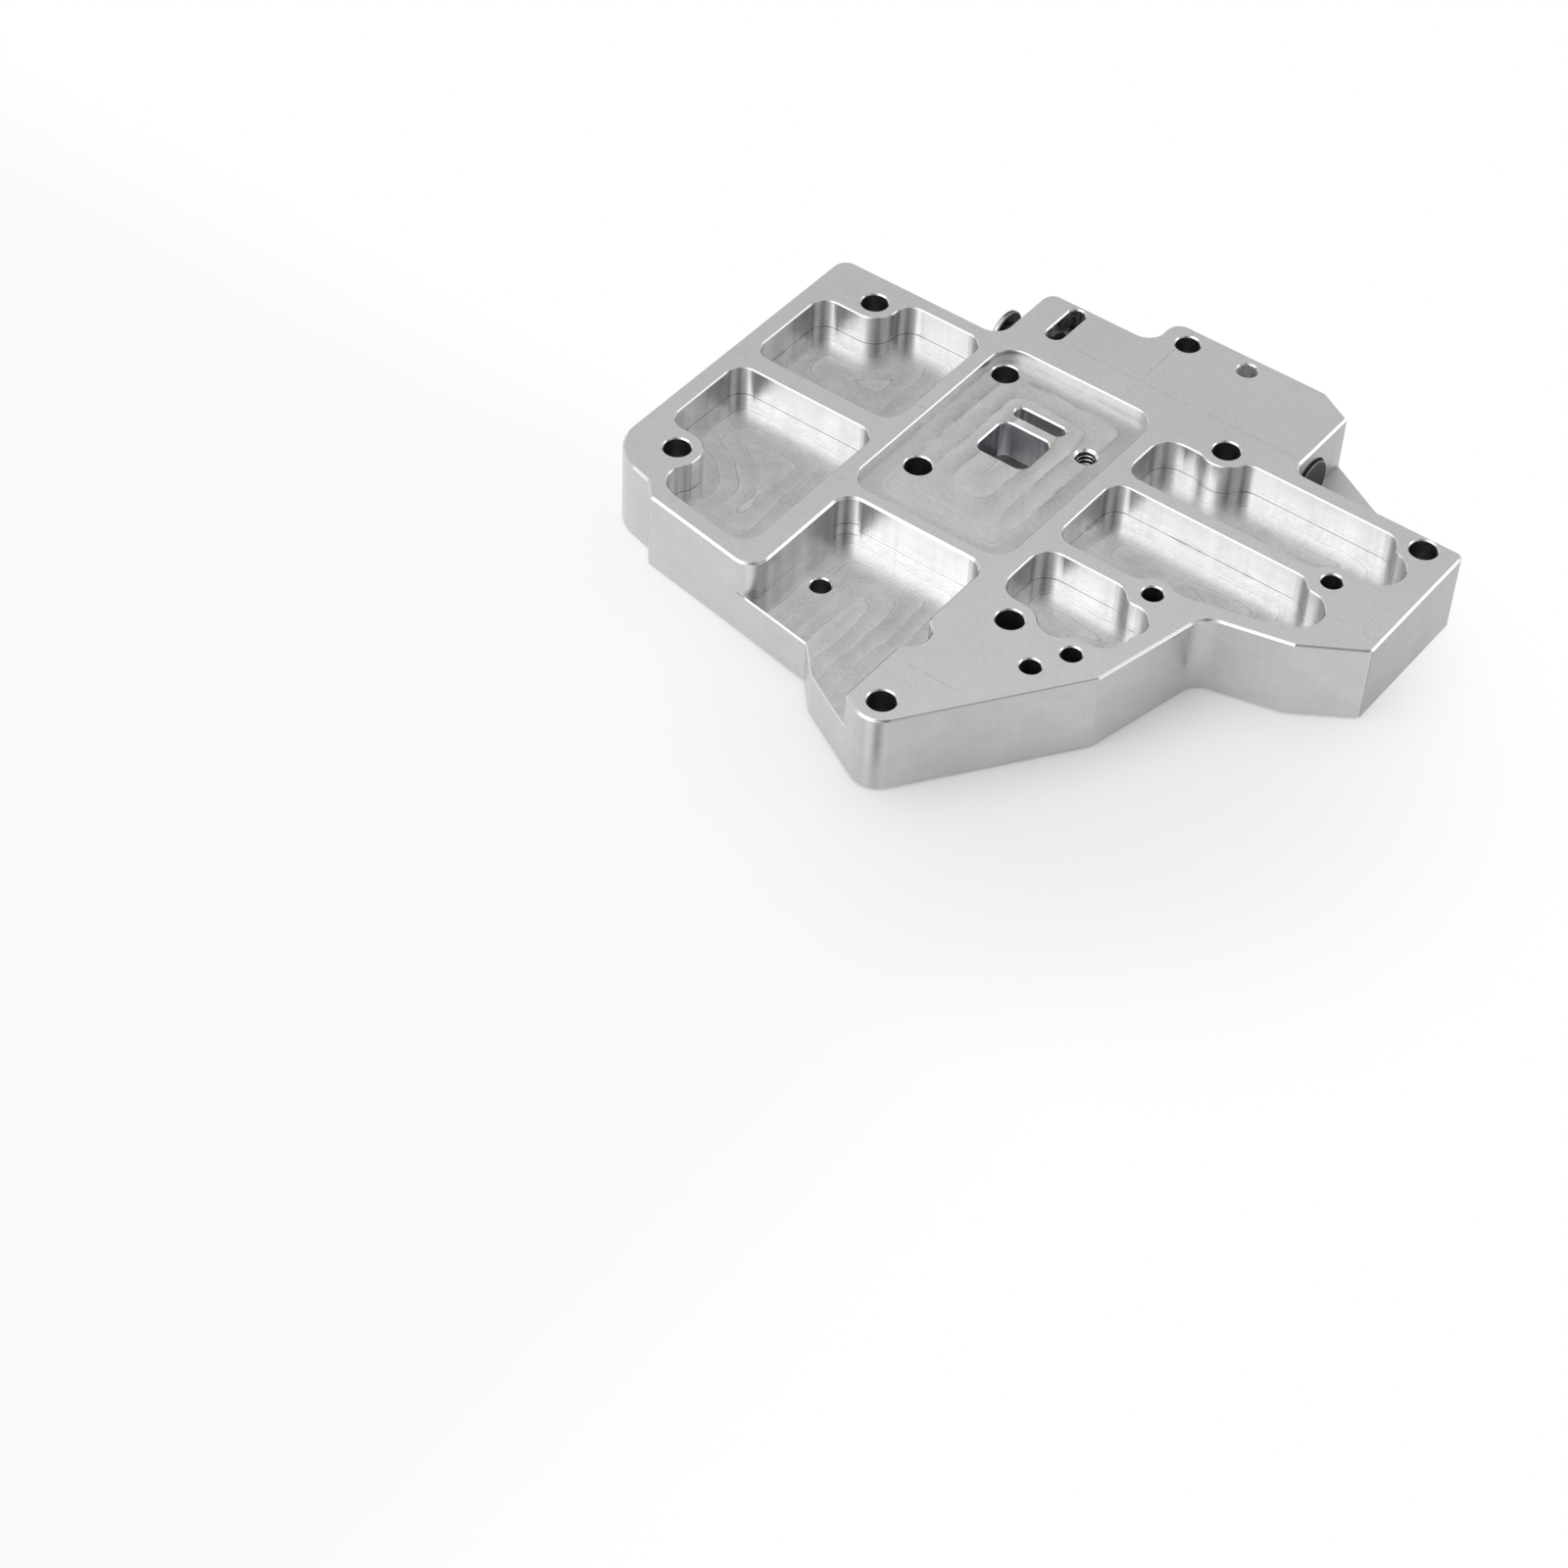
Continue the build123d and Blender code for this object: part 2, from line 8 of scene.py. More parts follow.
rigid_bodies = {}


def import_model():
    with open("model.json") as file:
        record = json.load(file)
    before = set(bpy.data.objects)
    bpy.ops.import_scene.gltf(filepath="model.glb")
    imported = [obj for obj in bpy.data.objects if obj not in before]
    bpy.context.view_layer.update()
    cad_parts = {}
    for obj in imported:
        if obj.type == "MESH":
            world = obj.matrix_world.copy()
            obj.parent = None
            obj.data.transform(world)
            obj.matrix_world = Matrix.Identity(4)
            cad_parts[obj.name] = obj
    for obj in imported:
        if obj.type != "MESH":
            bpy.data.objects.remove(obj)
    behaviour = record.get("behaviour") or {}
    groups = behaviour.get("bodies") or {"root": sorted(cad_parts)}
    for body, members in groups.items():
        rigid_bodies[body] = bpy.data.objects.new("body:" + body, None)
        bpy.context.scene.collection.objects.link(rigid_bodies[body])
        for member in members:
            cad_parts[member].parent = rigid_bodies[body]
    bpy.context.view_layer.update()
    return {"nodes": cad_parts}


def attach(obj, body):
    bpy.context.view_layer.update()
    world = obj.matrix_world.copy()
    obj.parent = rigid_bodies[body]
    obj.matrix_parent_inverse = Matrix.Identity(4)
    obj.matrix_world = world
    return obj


for leftover in list(bpy.data.objects):
    bpy.data.objects.remove(leftover)
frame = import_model()

# The block is cut from rolled aluminium plate, faced off on top and squared on its sides.
# The top is left as the face mill leaves it: even satin, with faint lines where two
# passes overlap. Plan places are in millimetres from the bolt hole in the rounded nose.
MM = 0.001
DATUM = (13.05, -78.25)
BLOCK_TOP = 23.0
WARM_TINT = (1.0, 0.993, 0.980)
COOL_TINT = (0.985, 0.988, 1.0)
RELIEF_DEPTH = 0.1
WEAK_SHEEN = 0.1
TOP_LEVEL = 0.58
TOP_ROUGHNESS = 0.34
OVERLAP_LINES = (("x", -18.0, 129.5, 162.5, 1.0), ("y", 136.9, -44.7, 30.3, 0.9),
                 ("x", -85.7, 124.5, 128.8, 0.8), ("x", -85.7, 77.0, 82.5, 0.8),
                 ("y", 92.5, -57.7, -53.2, 0.9), ("y", 92.5, 66.3, 80.3, 0.8),
                 ("x", 75.3, 92.0, 99.5, 0.7), ("y", 13.8, -2.7, 20.3, 0.8),
                 ("y", 57.4, -57.2, -53.0, 0.7))
OVERLAP_WIDTH = 0.17
OVERLAP_FADE = 1.0
# Where the sides' painted shade steps, and where the nose's painted dark reflection and glint lie.
NOSE_LEFT = (-6.0, 3.0)
NOSE_RIGHT = (14.0, 30.0)
NOSE_FRONT = (-5.5, -4.5)
NOSE_REFLECTION_X = 3.6
NOSE_REFLECTION_WIDTH = 1.5
NOSE_REFLECTION_RISE = (4.0, 15.0)
NOSE_GLINT_GAP = 2.2
# How far below the top the chamfers' painted dark reflection line runs, and its width.
EDGE_REFLECTION_LINE_DROP = 0.22
EDGE_REFLECTION_LINE_WIDTH = 0.10
# Where the sill's painted shade gives way to its bright edge.
SILL_START = -53.6
SILL_FADE = 1.6


class Wire:
    """A socket in a material. Sums and products of wires add Math nodes."""

    def __init__(self, tree, socket=None):
        self.tree = tree
        self.socket = socket

    def node(self, kind, settings=(), sockets=(), output=0):
        """Adds a node, with its settings first and then its sockets' values or links."""
        made = self.tree.nodes.new("ShaderNode" + kind)
        for name, value in dict(settings).items():
            setattr(made, name, value)
        for name, value in dict(sockets).items():
            if isinstance(value, Wire):
                self.tree.links.new(value.socket, made.inputs[name])
            else:
                made.inputs[name].default_value = value
        return Wire(self.tree, made.outputs[output] if made.outputs else None)

    def maths(self, operation, *values):
        """Adds a Math node on values and wires."""
        return self.node("Math", {"operation": operation}, enumerate(values))

    def __add__(self, other):
        return self.maths("ADD", self, other)

    def __radd__(self, other):
        return self.maths("ADD", other, self)

    def __sub__(self, other):
        return self.maths("SUBTRACT", self, other)

    def __rsub__(self, other):
        return self.maths("SUBTRACT", other, self)

    def __mul__(self, other):
        return self.maths("MULTIPLY", self, other)

    def __rmul__(self, other):
        return self.maths("MULTIPLY", other, self)

    def __abs__(self):
        return self.maths("ABSOLUTE", self)


def place_on_block(wire):
    """The place in millimetres from the block's datum hole."""
    point = wire.node("TexCoord", output="Object")
    return wire.node("VectorMath", {"operation": "MULTIPLY_ADD"},
                     {0: point, 1: (1 / MM, 1 / MM, 1 / MM), 2: (-DATUM[0], -DATUM[1], 0.0)})


def part(point, axis):
    """How far a place is along the axis X, Y or Z."""
    return point.node("SeparateXYZ", (), {0: point}, axis)


def noise(point, scale, stretch=(1, 1, 1), detail=3.0):
    """Soft noise from 0 to 1. The scale is blotches per millimetre along each stretch."""
    turned = point.node("Mapping", (), {"Vector": point, "Scale": stretch})
    return point.node("TexNoise", (), {"Vector": turned, "Scale": scale, "Detail": detail})


def ramp(value, start, end):
    """Rises softly from 0 at the start to 1 at the end."""
    return value.node("MapRange", {"interpolation_type": "SMOOTHSTEP"},
                      {"Value": value, "From Min": start, "From Max": end, "To Min": 0.0, "To Max": 1.0})


def soft_line(distance, width):
    """1 on a line and 0 beyond its width, from the distance to it."""
    return 1.0 - ramp(abs(distance), 0.0, width)


def new_material(name):
    """A new material and the wire that its nodes hang on."""
    made = bpy.data.materials.new(name)
    made.use_nodes = True
    made.node_tree.nodes.clear()
    return made, Wire(made.node_tree)


def finish_metal(wire, level, tint, roughness, height, strength, metallic=1.0):
    """Ends a metal's nodes: its grey level and tint, its roughness and its fine relief.

    Black steel, and a deep thread's root, which is painted near black as shade, have a low metallic, so
    they keep a weak sheen.
    """
    shade = wire.node("CombineColor", (), {0: level, 1: level, 2: level})
    colour = wire.node("Mix", {"data_type": "RGBA", "blend_type": "MULTIPLY"},
                       {0: 1.0, 6: shade, 7: (*tint, 1)}, 2)
    normal = wire.node("Bump", (), {"Height": height, "Strength": strength,
                                     "Distance": RELIEF_DEPTH * MM})
    surface = wire.node("BsdfPrincipled", (), {"Base Color": colour, "Metallic": metallic,
                                               "Roughness": roughness, "Specular IOR Level": WEAK_SHEEN,
                                               "Normal": normal})
    wire.node("OutputMaterial", (), {"Surface": surface})


def satin_top():
    """The face-milled top, with the lines where passes overlap.

    Each line runs at one x or y, from its start to its end, with its own strength.
    """
    made, wire = new_material("aluminium_satin_top")
    point = place_on_block(wire)
    x, y = part(point, "X"), part(point, "Y")
    cloudy = noise(point, 0.03)
    grain = noise(point, 2.6, detail=2.0)
    mottle = noise(point, 0.9, detail=2.0)
    broken = ramp(noise(point, 0.35), 0.38, 0.55)
    lines = 0.0
    for axis, line, start, end, strength in OVERLAP_LINES:
        across, along = (x, y) if axis == "x" else (y, x)
        begun = ramp(along, start - OVERLAP_FADE, start + OVERLAP_FADE)
        span = begun * (1.0 - ramp(along, end - OVERLAP_FADE, end + OVERLAP_FADE))
        lines = soft_line(across - line, OVERLAP_WIDTH) * span * strength + lines
    lines = lines * broken
    level = (TOP_LEVEL + (cloudy - 0.5) * 0.07 + (grain - 0.5) * 0.12 + (mottle - 0.5) * 0.09
             - lines * 0.24)
    finish_metal(wire, level, WARM_TINT, TOP_ROUGHNESS + (grain - 0.5) * 0.06, grain, 0.06)
    return made


def outer_side(name, level, nose_level, far_level):
    """A side of the block, fly cut and handled: satin, with soft smears.

    Its grey level goes from one on the left past the nose's to one on the right. These levels
    are painted shade: the side is painted darker towards the nose and the right, where the card
    it mirrors lies in shadow. The rounded nose has a painted dark reflection, a band, with a
    painted glint on its left.
    """
    made, wire = new_material(name)
    point = place_on_block(wire)
    x, y, z = [part(point, axis) for axis in "XYZ"]
    flutes = noise(point, 4.5, (1, 1, 0.02), 2.0)
    upright = noise(point, 0.7, (1, 1, 0.03))
    smears = noise(point, 0.10, (1, 1, 1.6))
    grain = noise(point, 1.6, (1, 1, 0.5))
    # Painted shade by position, and the nose's painted dark reflection and painted glint.
    painted_side_shade = ramp(x, *NOSE_LEFT) * (nose_level - level) + ramp(x, *NOSE_RIGHT) * (far_level - nose_level)
    raised = ramp(z, *NOSE_REFLECTION_RISE)
    painted_nose_reflection = soft_line(x - NOSE_REFLECTION_X, NOSE_REFLECTION_WIDTH) * (0.4 + raised * 0.8)
    painted_nose_glint = soft_line(x - NOSE_REFLECTION_X + NOSE_GLINT_GAP, NOSE_REFLECTION_WIDTH) * (0.5 + raised * 0.5)
    on_nose = 1.0 - ramp(y, *NOSE_FRONT)
    tone = (level + painted_side_shade + (upright - 0.5) * 0.05 + (smears - 0.5) * 0.13 + (grain - 0.5) * 0.07
            + (painted_nose_glint * 0.09 - painted_nose_reflection * 0.20) * on_nose)
    finish_metal(wire, tone, COOL_TINT, 0.26 + (smears - 0.5) * 0.12, flutes, 0.16)
    return made


def plain_cut(name, level, roughness, metallic=1.0):
    """A small cut face, such as a drilled hole's wall, with a fine grain."""
    made, wire = new_material(name)
    grain = noise(place_on_block(wire), 1.8)
    finish_metal(wire, level + (grain - 0.5) * 0.08, WARM_TINT, roughness + (grain - 0.5) * 0.08, grain,
                 0.05, metallic)
    return made


def broken_edge(name, level, roughness):
    """A small chamfer on the top's edges, with a painted dark reflection: a fine dark line that splits
    its highlight.
    """
    made, wire = new_material(name)
    point = place_on_block(wire)
    grain = noise(point, 1.8)
    painted_dark_line = soft_line(part(point, "Z") - BLOCK_TOP + EDGE_REFLECTION_LINE_DROP, EDGE_REFLECTION_LINE_WIDTH)
    finish_metal(wire, level + (grain - 0.5) * 0.08 - painted_dark_line * 0.5, WARM_TINT, roughness, grain, 0.05)
    return made


def sill_edge(name, shaded_level, rise, roughness):
    """The broken edge of the open pocket's sill, painted darker at its left end as shade."""
    made, wire = new_material(name)
    point = place_on_block(wire)
    grain = noise(point, 1.8)
    along = ramp(part(point, "X"), SILL_START, SILL_START + SILL_FADE)
    level = shaded_level + along * rise + (grain - 0.5) * 0.08
    finish_metal(wire, level, WARM_TINT, roughness, grain, 0.05)
    return made


finishes = {
    "top": satin_top(),
    "outer": outer_side("aluminium_outer_side", 0.635, 0.58, 0.61),
    # The right end is painted in shade: a darker copy of the outer side, as the card it mirrors lies in
    # shadow.
    "shaded_right_end": outer_side("aluminium_right_end", 0.42, 0.42, 0.42),
    "underside": plain_cut("aluminium_underside", 0.60, 0.34),
    "edge": broken_edge("aluminium_broken_edge", 0.76, 0.20),
    # Chamfers facing away are painted in shade: a darker copy of the edge finish.
    "shaded_far_edge": plain_cut("aluminium_far_edge", 0.36, 0.25),
    # Chamfers facing down carry a painted contact shadow.
    "shadowed_low_edge": plain_cut("aluminium_low_edge", 0.20, 0.35),
    "sill": sill_edge("aluminium_sill", 0.20, 0.55, 0.20),
}

# Seven pockets are milled into the top. A cutter of 10 mm works inwards along each wall
# and round each ear, so every floor keeps looping steps. The walls are bright, and a deep
# floor is shinier beside its left and back walls, where the cutter dwelt.
DEEP_FLOOR = 14.5
OPEN_FLOOR = 12.7
PANEL_FLOOR = 19.9
BOLT_EAR = 6.7
SCREW_EAR = 5.7
CORNER_ROUNDING = 6.0
EAR_ROUNDING = 4.0
LAST_PASS = -0.4
WORN_WAVER = 20.0
DWELL_REACH = (-7.0, -0.5)
FOOT_SHADE_REACH = (-9.0, -1.0)
POCKETS = {
    "left_back": {"sides": (-101.7, -57.7, 82.7, 124.2), "step": 4.9, "level": 0.54,
                  "ears": ((-89.5, 119.0, BOLT_EAR),)},
    "left_front": {"sides": (-101.7, -57.7, 24.5, 76.5), "step": 4.5, "level": 0.56,
                   "ears": ((-93.3, 40.4, BOLT_EAR),)},
    "upper": {"sides": (-1.1, 66.8, 104.6, 127.2), "step": 4.6, "level": 0.57,
              "ears": ((14.3, 128.0, BOLT_EAR), (60.6, 103.2, SCREW_EAR))},
    "middle": {"sides": (-1.1, 57.5, 73.6, 100.2), "step": 4.8, "level": 0.56,
               "ears": ((29.1, 71.5, SCREW_EAR),)},
    "lower": {"sides": (-1.1, 34.0, 43.0, 69.0), "step": 4.6, "level": 0.58,
              "ears": ((7.4, 42.0, BOLT_EAR), (25.7, 41.4, SCREW_EAR))},
    "open": {"sides": (-50.5, -7.9, -24.0, 53.9), "step": 4.7, "level": 0.58},
    "panel": {"sides": (-53.0, -6.0, 57.9, 127.1), "step": 5.8, "level": 0.585,
              "wander": 2.2, "dull": 0.34, "gloss": -0.16, "foot_shade": 0.09,
              "worn": (64.0, 92.0), "line_width": 1.1, "stepped": 1.7},
}
FLOOR_HEIGHTS = {name: DEEP_FLOOR for name in POCKETS}
FLOOR_HEIGHTS.update(open=OPEN_FLOOR, panel=PANEL_FLOOR)
# The far corners are painted in shade: each is painted darker the more it turns to face left.
FAR_CORNER_SHADE_LEVELS = (0.71, 0.67, 0.63, 0.61)
FOOT_LINE_WIDTH = 0.32
UPPER_LINE_RISE = 1.1
UPPER_LINE_WIDTH = 0.22


def side_milled(name, level, roughness, streaks, foot=None, flute_depth=0.22, bands_depth=0.12,
                foot_depth=0.45, clouds=0.12):
    """A wall cut by the side of an end mill, with upright streaks, bands and clouds.

    The foot is the floor's height, where the wall is darkened along a fine line. A fainter
    dark line wavers above it.
    """
    made, wire = new_material(name)
    point = place_on_block(wire)
    flutes = noise(point, 4.5, (1, 1, 0.02), 2.0)
    upright = noise(point, 0.7, (1, 1, 0.03))
    broad = noise(point, 0.13, (1, 1, 0.35), 2.0)
    bands = noise(point, 0.20, (1, 1, 0.04), 1.0)
    tone = level + (upright - 0.5) * streaks + (broad - 0.5) * clouds + (bands - 0.5) * bands_depth
    if foot is not None:
        z = part(point, "Z")
        waver = (noise(point, 0.06, (1, 1, 0)) - 0.5) * 0.8
        upper_line = soft_line(z + waver - (foot + UPPER_LINE_RISE), UPPER_LINE_WIDTH)
        tone = tone - upper_line * 0.10 - soft_line(z - foot, FOOT_LINE_WIDTH) * foot_depth
    finish_metal(wire, tone, COOL_TINT, roughness + (broad - 0.5) * 0.10, flutes, flute_depth)
    return made


def pass_floor(name, sides, step, level, ears=(), wander=4.0, dull=0.27, gloss=0.14, foot_shade=0.0,
               worn=None, line_width=0.26, stepped=1.0):
    """A pocket floor with steps that follow its walls and ears inwards.

    Sides are its left, right, front and back, and an ear is an x, a y and a radius.
    Dull is its roughness in the middle, and gloss is how much less that is beside the left
    and back walls and the ears. Foot shade is how much darker it is beside all the walls.
    Worn gives the y where the steps are worn away, and the y where they are clear. Stepped
    is how strong they are.
    """
    made, wire = new_material("aluminium_" + name + "_floor")
    point = place_on_block(wire)
    x, y = part(point, "X"), part(point, "Y")
    left, right, front, back = sides
    across = abs(x - (left + right) / 2) - (right - left) / 2
    along = abs(y - (front + back) / 2) - (back - front) / 2
    inside = wire.maths("SMOOTH_MAX", across, along, CORNER_ROUNDING)
    lit_walls = wire.maths("SMOOTH_MAX", left - x, y - back, EAR_ROUNDING)
    in_plan = wire.node("CombineXYZ", (), {0: x, 1: y, 2: 0.0})
    for ear_x, ear_y, radius in ears:
        reach = wire.node("VectorMath", {"operation": "DISTANCE"},
                          {0: in_plan, 1: (ear_x, ear_y, 0.0)}, "Value")
        inside = wire.maths("SMOOTH_MAX", inside, radius - reach, EAR_ROUNDING)
        lit_walls = wire.maths("SMOOTH_MAX", lit_walls, radius - reach, EAR_ROUNDING)
    inside = wire.maths("MINIMUM", inside, LAST_PASS)
    bends = noise(point, 0.07, detail=2.0)
    turn = wire.maths("DIVIDE", inside + (bends - 0.5) * wander, step)
    ring = wire.maths("FLOOR", turn)
    rise = turn - ring
    shade = wire.node("TexWhiteNoise", {"noise_dimensions": "1D"}, {"W": ring})
    patches = noise(point, 0.11)
    grain = noise(point, 1.7, detail=2.0)
    mottle = noise(point, 0.8, detail=2.0)
    fades = ramp(noise(point, 0.05), 0.35, 0.65)
    sideways = ramp(across - along, -4.0, 4.0)
    clear = 1.0 if worn is None else ramp(y + (bends - 0.5) * WORN_WAVER, *worn)
    contrast = (0.05 + fades * 0.11) * (0.5 + sideways * 0.5) * clear * stepped
    from_step = (rise - 0.5 - 0.5 * wire.maths("SIGN", rise - 0.5)) * step
    cut_line = soft_line(from_step, line_width) * ramp(noise(point, 0.16), 0.36, 0.56) * clear
    crest = soft_line(from_step - 0.5, 0.5)
    tone = (level + (rise - 0.5) * contrast + (shade - 0.5) * (0.05 * stepped) + (patches - 0.5) * 0.15
            + (grain - 0.5) * 0.08 + (mottle - 0.5) * 0.14 + crest * 0.05 - cut_line * 0.10
            - ramp(inside, *FOOT_SHADE_REACH) * foot_shade + (1.0 - clear) * 0.03)
    shiny = ramp(lit_walls, *DWELL_REACH)
    roughness = dull - shiny * gloss + (patches - 0.5) * 0.12
    finish_metal(wire, tone, WARM_TINT, roughness, rise * 0.5 + grain * 0.4, 0.14)
    return made


for name, pocket in POCKETS.items():
    finishes[name] = pass_floor(name, **pocket)
finishes["deep_wall"] = side_milled("aluminium_deep_pocket_wall", 0.74, 0.19, 0.14, DEEP_FLOOR)
finishes["open_wall"] = side_milled("aluminium_open_pocket_wall", 0.79, 0.19, 0.14, OPEN_FLOOR,
                                    foot_depth=0.25)
finishes["deep_left_wall"] = side_milled("aluminium_deep_left_wall", 0.82, 0.24, 0.24, DEEP_FLOOR,
                                         clouds=0.60)
finishes["open_left_wall"] = side_milled("aluminium_open_left_wall", 0.79, 0.26, 0.30, OPEN_FLOOR,
                                         foot_depth=0.18, clouds=0.50)
finishes["panel_wall"] = side_milled("aluminium_panel_wall", 0.95, 0.30, 0.10)
finishes["corner"] = side_milled("aluminium_pocket_corner", 0.79, 0.22, 0.28, DEEP_FLOOR, 0.10)
# Painted-shade copies of the wall for the far corners.
for turn, level in enumerate(FAR_CORNER_SHADE_LEVELS):
    kind = "shaded_far_corner_" + str(turn)
    finishes[kind] = side_milled("aluminium_" + kind, level, 0.34, 0.10, DEEP_FLOOR, foot_depth=0.20)
finishes["mouth"] = side_milled("aluminium_mouth_corner", 0.68, 0.34, 0.24, OPEN_FLOOR, 0.10,
                                foot_depth=0.12)

# A window and a slot go through the panel's floor, and a slot leads down to the cross bore.
# Their walls were cut with a long thin mill, which leaves strong upright streaks. The ledge
# at the bore's mouth is matt.
WINDOW = (-38.0, -22.8, 91.6, 105.0)
WINDOW_RELIEF = 2.0
WINDOW_RELIEF_TOP = 9.0
WINDOW_RELIEF_SHADE = 0.72
WINDOW_LIP = 0.3
WINDOW_LIP_RISE = 0.2
WINDOW_TINT = (0.93, 0.93, 1.0)
PANEL_SLOT = (-37.9, -22.9, 108.2, 112.0)
TAB_SLOT = (-48.0, -43.2, 136.5, 151.0)
BORE_AXIS = (142.2, 11.5)
BORE = 14.5
LEDGE_FLOOR = 7.0


def window_wall(name, level):
    """A bluish wall of the window, painted in shade in the recess below, with a painted highlight on the
    lip where the recess begins. Its level is painted light and shade.
    """
    made, wire = new_material(name)
    point = place_on_block(wire)
    z = part(point, "Z")
    upright = noise(point, 0.6, (1, 1, 0.03))
    scuffs = noise(point, 0.5)
    # Painted shade in the recess below, and a painted highlight on its lip.
    painted_recess_shade = 1.0 - ramp(z, WINDOW_RELIEF_TOP - WINDOW_LIP, WINDOW_RELIEF_TOP)
    painted_lip_highlight = soft_line(z - WINDOW_RELIEF_TOP - WINDOW_LIP_RISE, WINDOW_LIP)
    streaked = 1.0 + (upright - 0.5) * 1.00 + (scuffs - 0.5) * 0.25
    tone = streaked * level * (1.0 - painted_recess_shade * WINDOW_RELIEF_SHADE) + painted_lip_highlight * 0.30
    finish_metal(wire, tone, WINDOW_TINT, 0.36 + (scuffs - 0.5) * 0.1, upright, 0.10)
    return made


# The window's back wall and corners are painted lit, and its side walls painted in shade.
finishes["window"] = window_wall("aluminium_window_back", 1.06)
finishes["window_side"] = window_wall("aluminium_window_side", 0.41)
finishes["window_corner"] = window_wall("aluminium_window_corner", 1.0)
finishes["slot"] = side_milled("aluminium_slot_wall", 0.98, 0.24, 0.60, bands_depth=0.50)
finishes["bore"] = side_milled("aluminium_cross_bore", 0.60, 0.30, 0.05)
finishes["ledge"] = plain_cut("aluminium_ledge", 0.55, 0.55)
finishes["ledge_wall"] = side_milled("aluminium_ledge_wall", 0.48, 0.40, 0.06)

# Eight bolt holes, five screw holes, a locating hole, a tapped hole and one of 6.5 mm are
# drilled right through. A drilled wall is a dull dark grey, partly its rough finish and partly
# painted shade inside the hole, and a reamer leaves a brighter one in the locating hole. Every
# face of the block then gets the finish of the cut that made it.
BOLT_HOLE = 7.1
SCREW_HOLE = 5.3
RISE_HOLE = 6.5
TAP_DRILL = 5.1
TAPPED_HOLE = (-13.7, 106.4)
LOCATING_HOLE = (1.3, 158.3)
HOLE_MARGIN = 0.15
WALL_MARGIN = 0.3
SAME_LEVEL = 0.1
SQUARE_ON = 0.9
SLANTED = 0.3
CORNER_START = 0.2
FAR_CORNER_START = 0.05
BORE_MARGIN = 0.05
SILL_MARGIN = 0.4
MOUTH_CORNER = (-56.0, -50.0, 14.0, 22.0)
MOUTH_MARGIN = 1.0
SIDE_BEND_X = 43.2
# The far side: chamfers facing it are painted in shade.
FAR_SIDE = Vector((-0.58, 0.82, 0.0))
DRILLED = [((0.0, 0.0), BOLT_HOLE), ((-89.5, 119.0), BOLT_HOLE), ((-93.3, 40.4), BOLT_HOLE),
           ((14.3, 128.0), BOLT_HOLE), ((72.1, 127.6), BOLT_HOLE), ((7.4, 42.0), BOLT_HOLE),
           ((-48.2, 120.2), BOLT_HOLE), ((-44.5, 76.5), BOLT_HOLE), ((60.6, 103.2), SCREW_HOLE),
           ((29.1, 71.5), SCREW_HOLE), ((25.7, 41.4), SCREW_HOLE), ((20.5, 31.8), SCREW_HOLE),
           ((-41.2, 31.7), SCREW_HOLE), (LOCATING_HOLE, SCREW_HOLE), ((-16.4, 157.4), RISE_HOLE),
           (TAPPED_HOLE, TAP_DRILL)]

# The drilled walls' dark grey is partly painted shade inside the holes.
finishes["hole"] = plain_cut("aluminium_drilled_hole", 0.30, 0.35)
finishes["reamed"] = side_milled("aluminium_reamed_hole", 0.82, 0.45, 0.50, bands_depth=0.40)
# The thread's root is painted near black, as shade deep in the tapped hole.
finishes["tapped"] = plain_cut("aluminium_thread_root", 0.045, 0.45, 0.0)


def outside(x, y, sides):
    """How far a plan place is outside a rectangle."""
    left, right, front, back = sides
    return max(left - x, x - right, front - y, y - back)


def within(x, y, sides, margin):
    """Whether a plan place is inside a rectangle grown by a margin."""
    return outside(x, y, sides) < margin


def floor_kind(x, y, z):
    """Which floor a level face that looks up belongs to: the nearest pocket's at its height."""
    if z > BLOCK_TOP - SAME_LEVEL:
        return "top"
    level_with = [name for name, height in FLOOR_HEIGHTS.items() if abs(z - height) < SAME_LEVEL]
    if not level_with:
        return "ledge"
    return min(level_with, key=lambda name: outside(x, y, POCKETS[name]["sides"]))


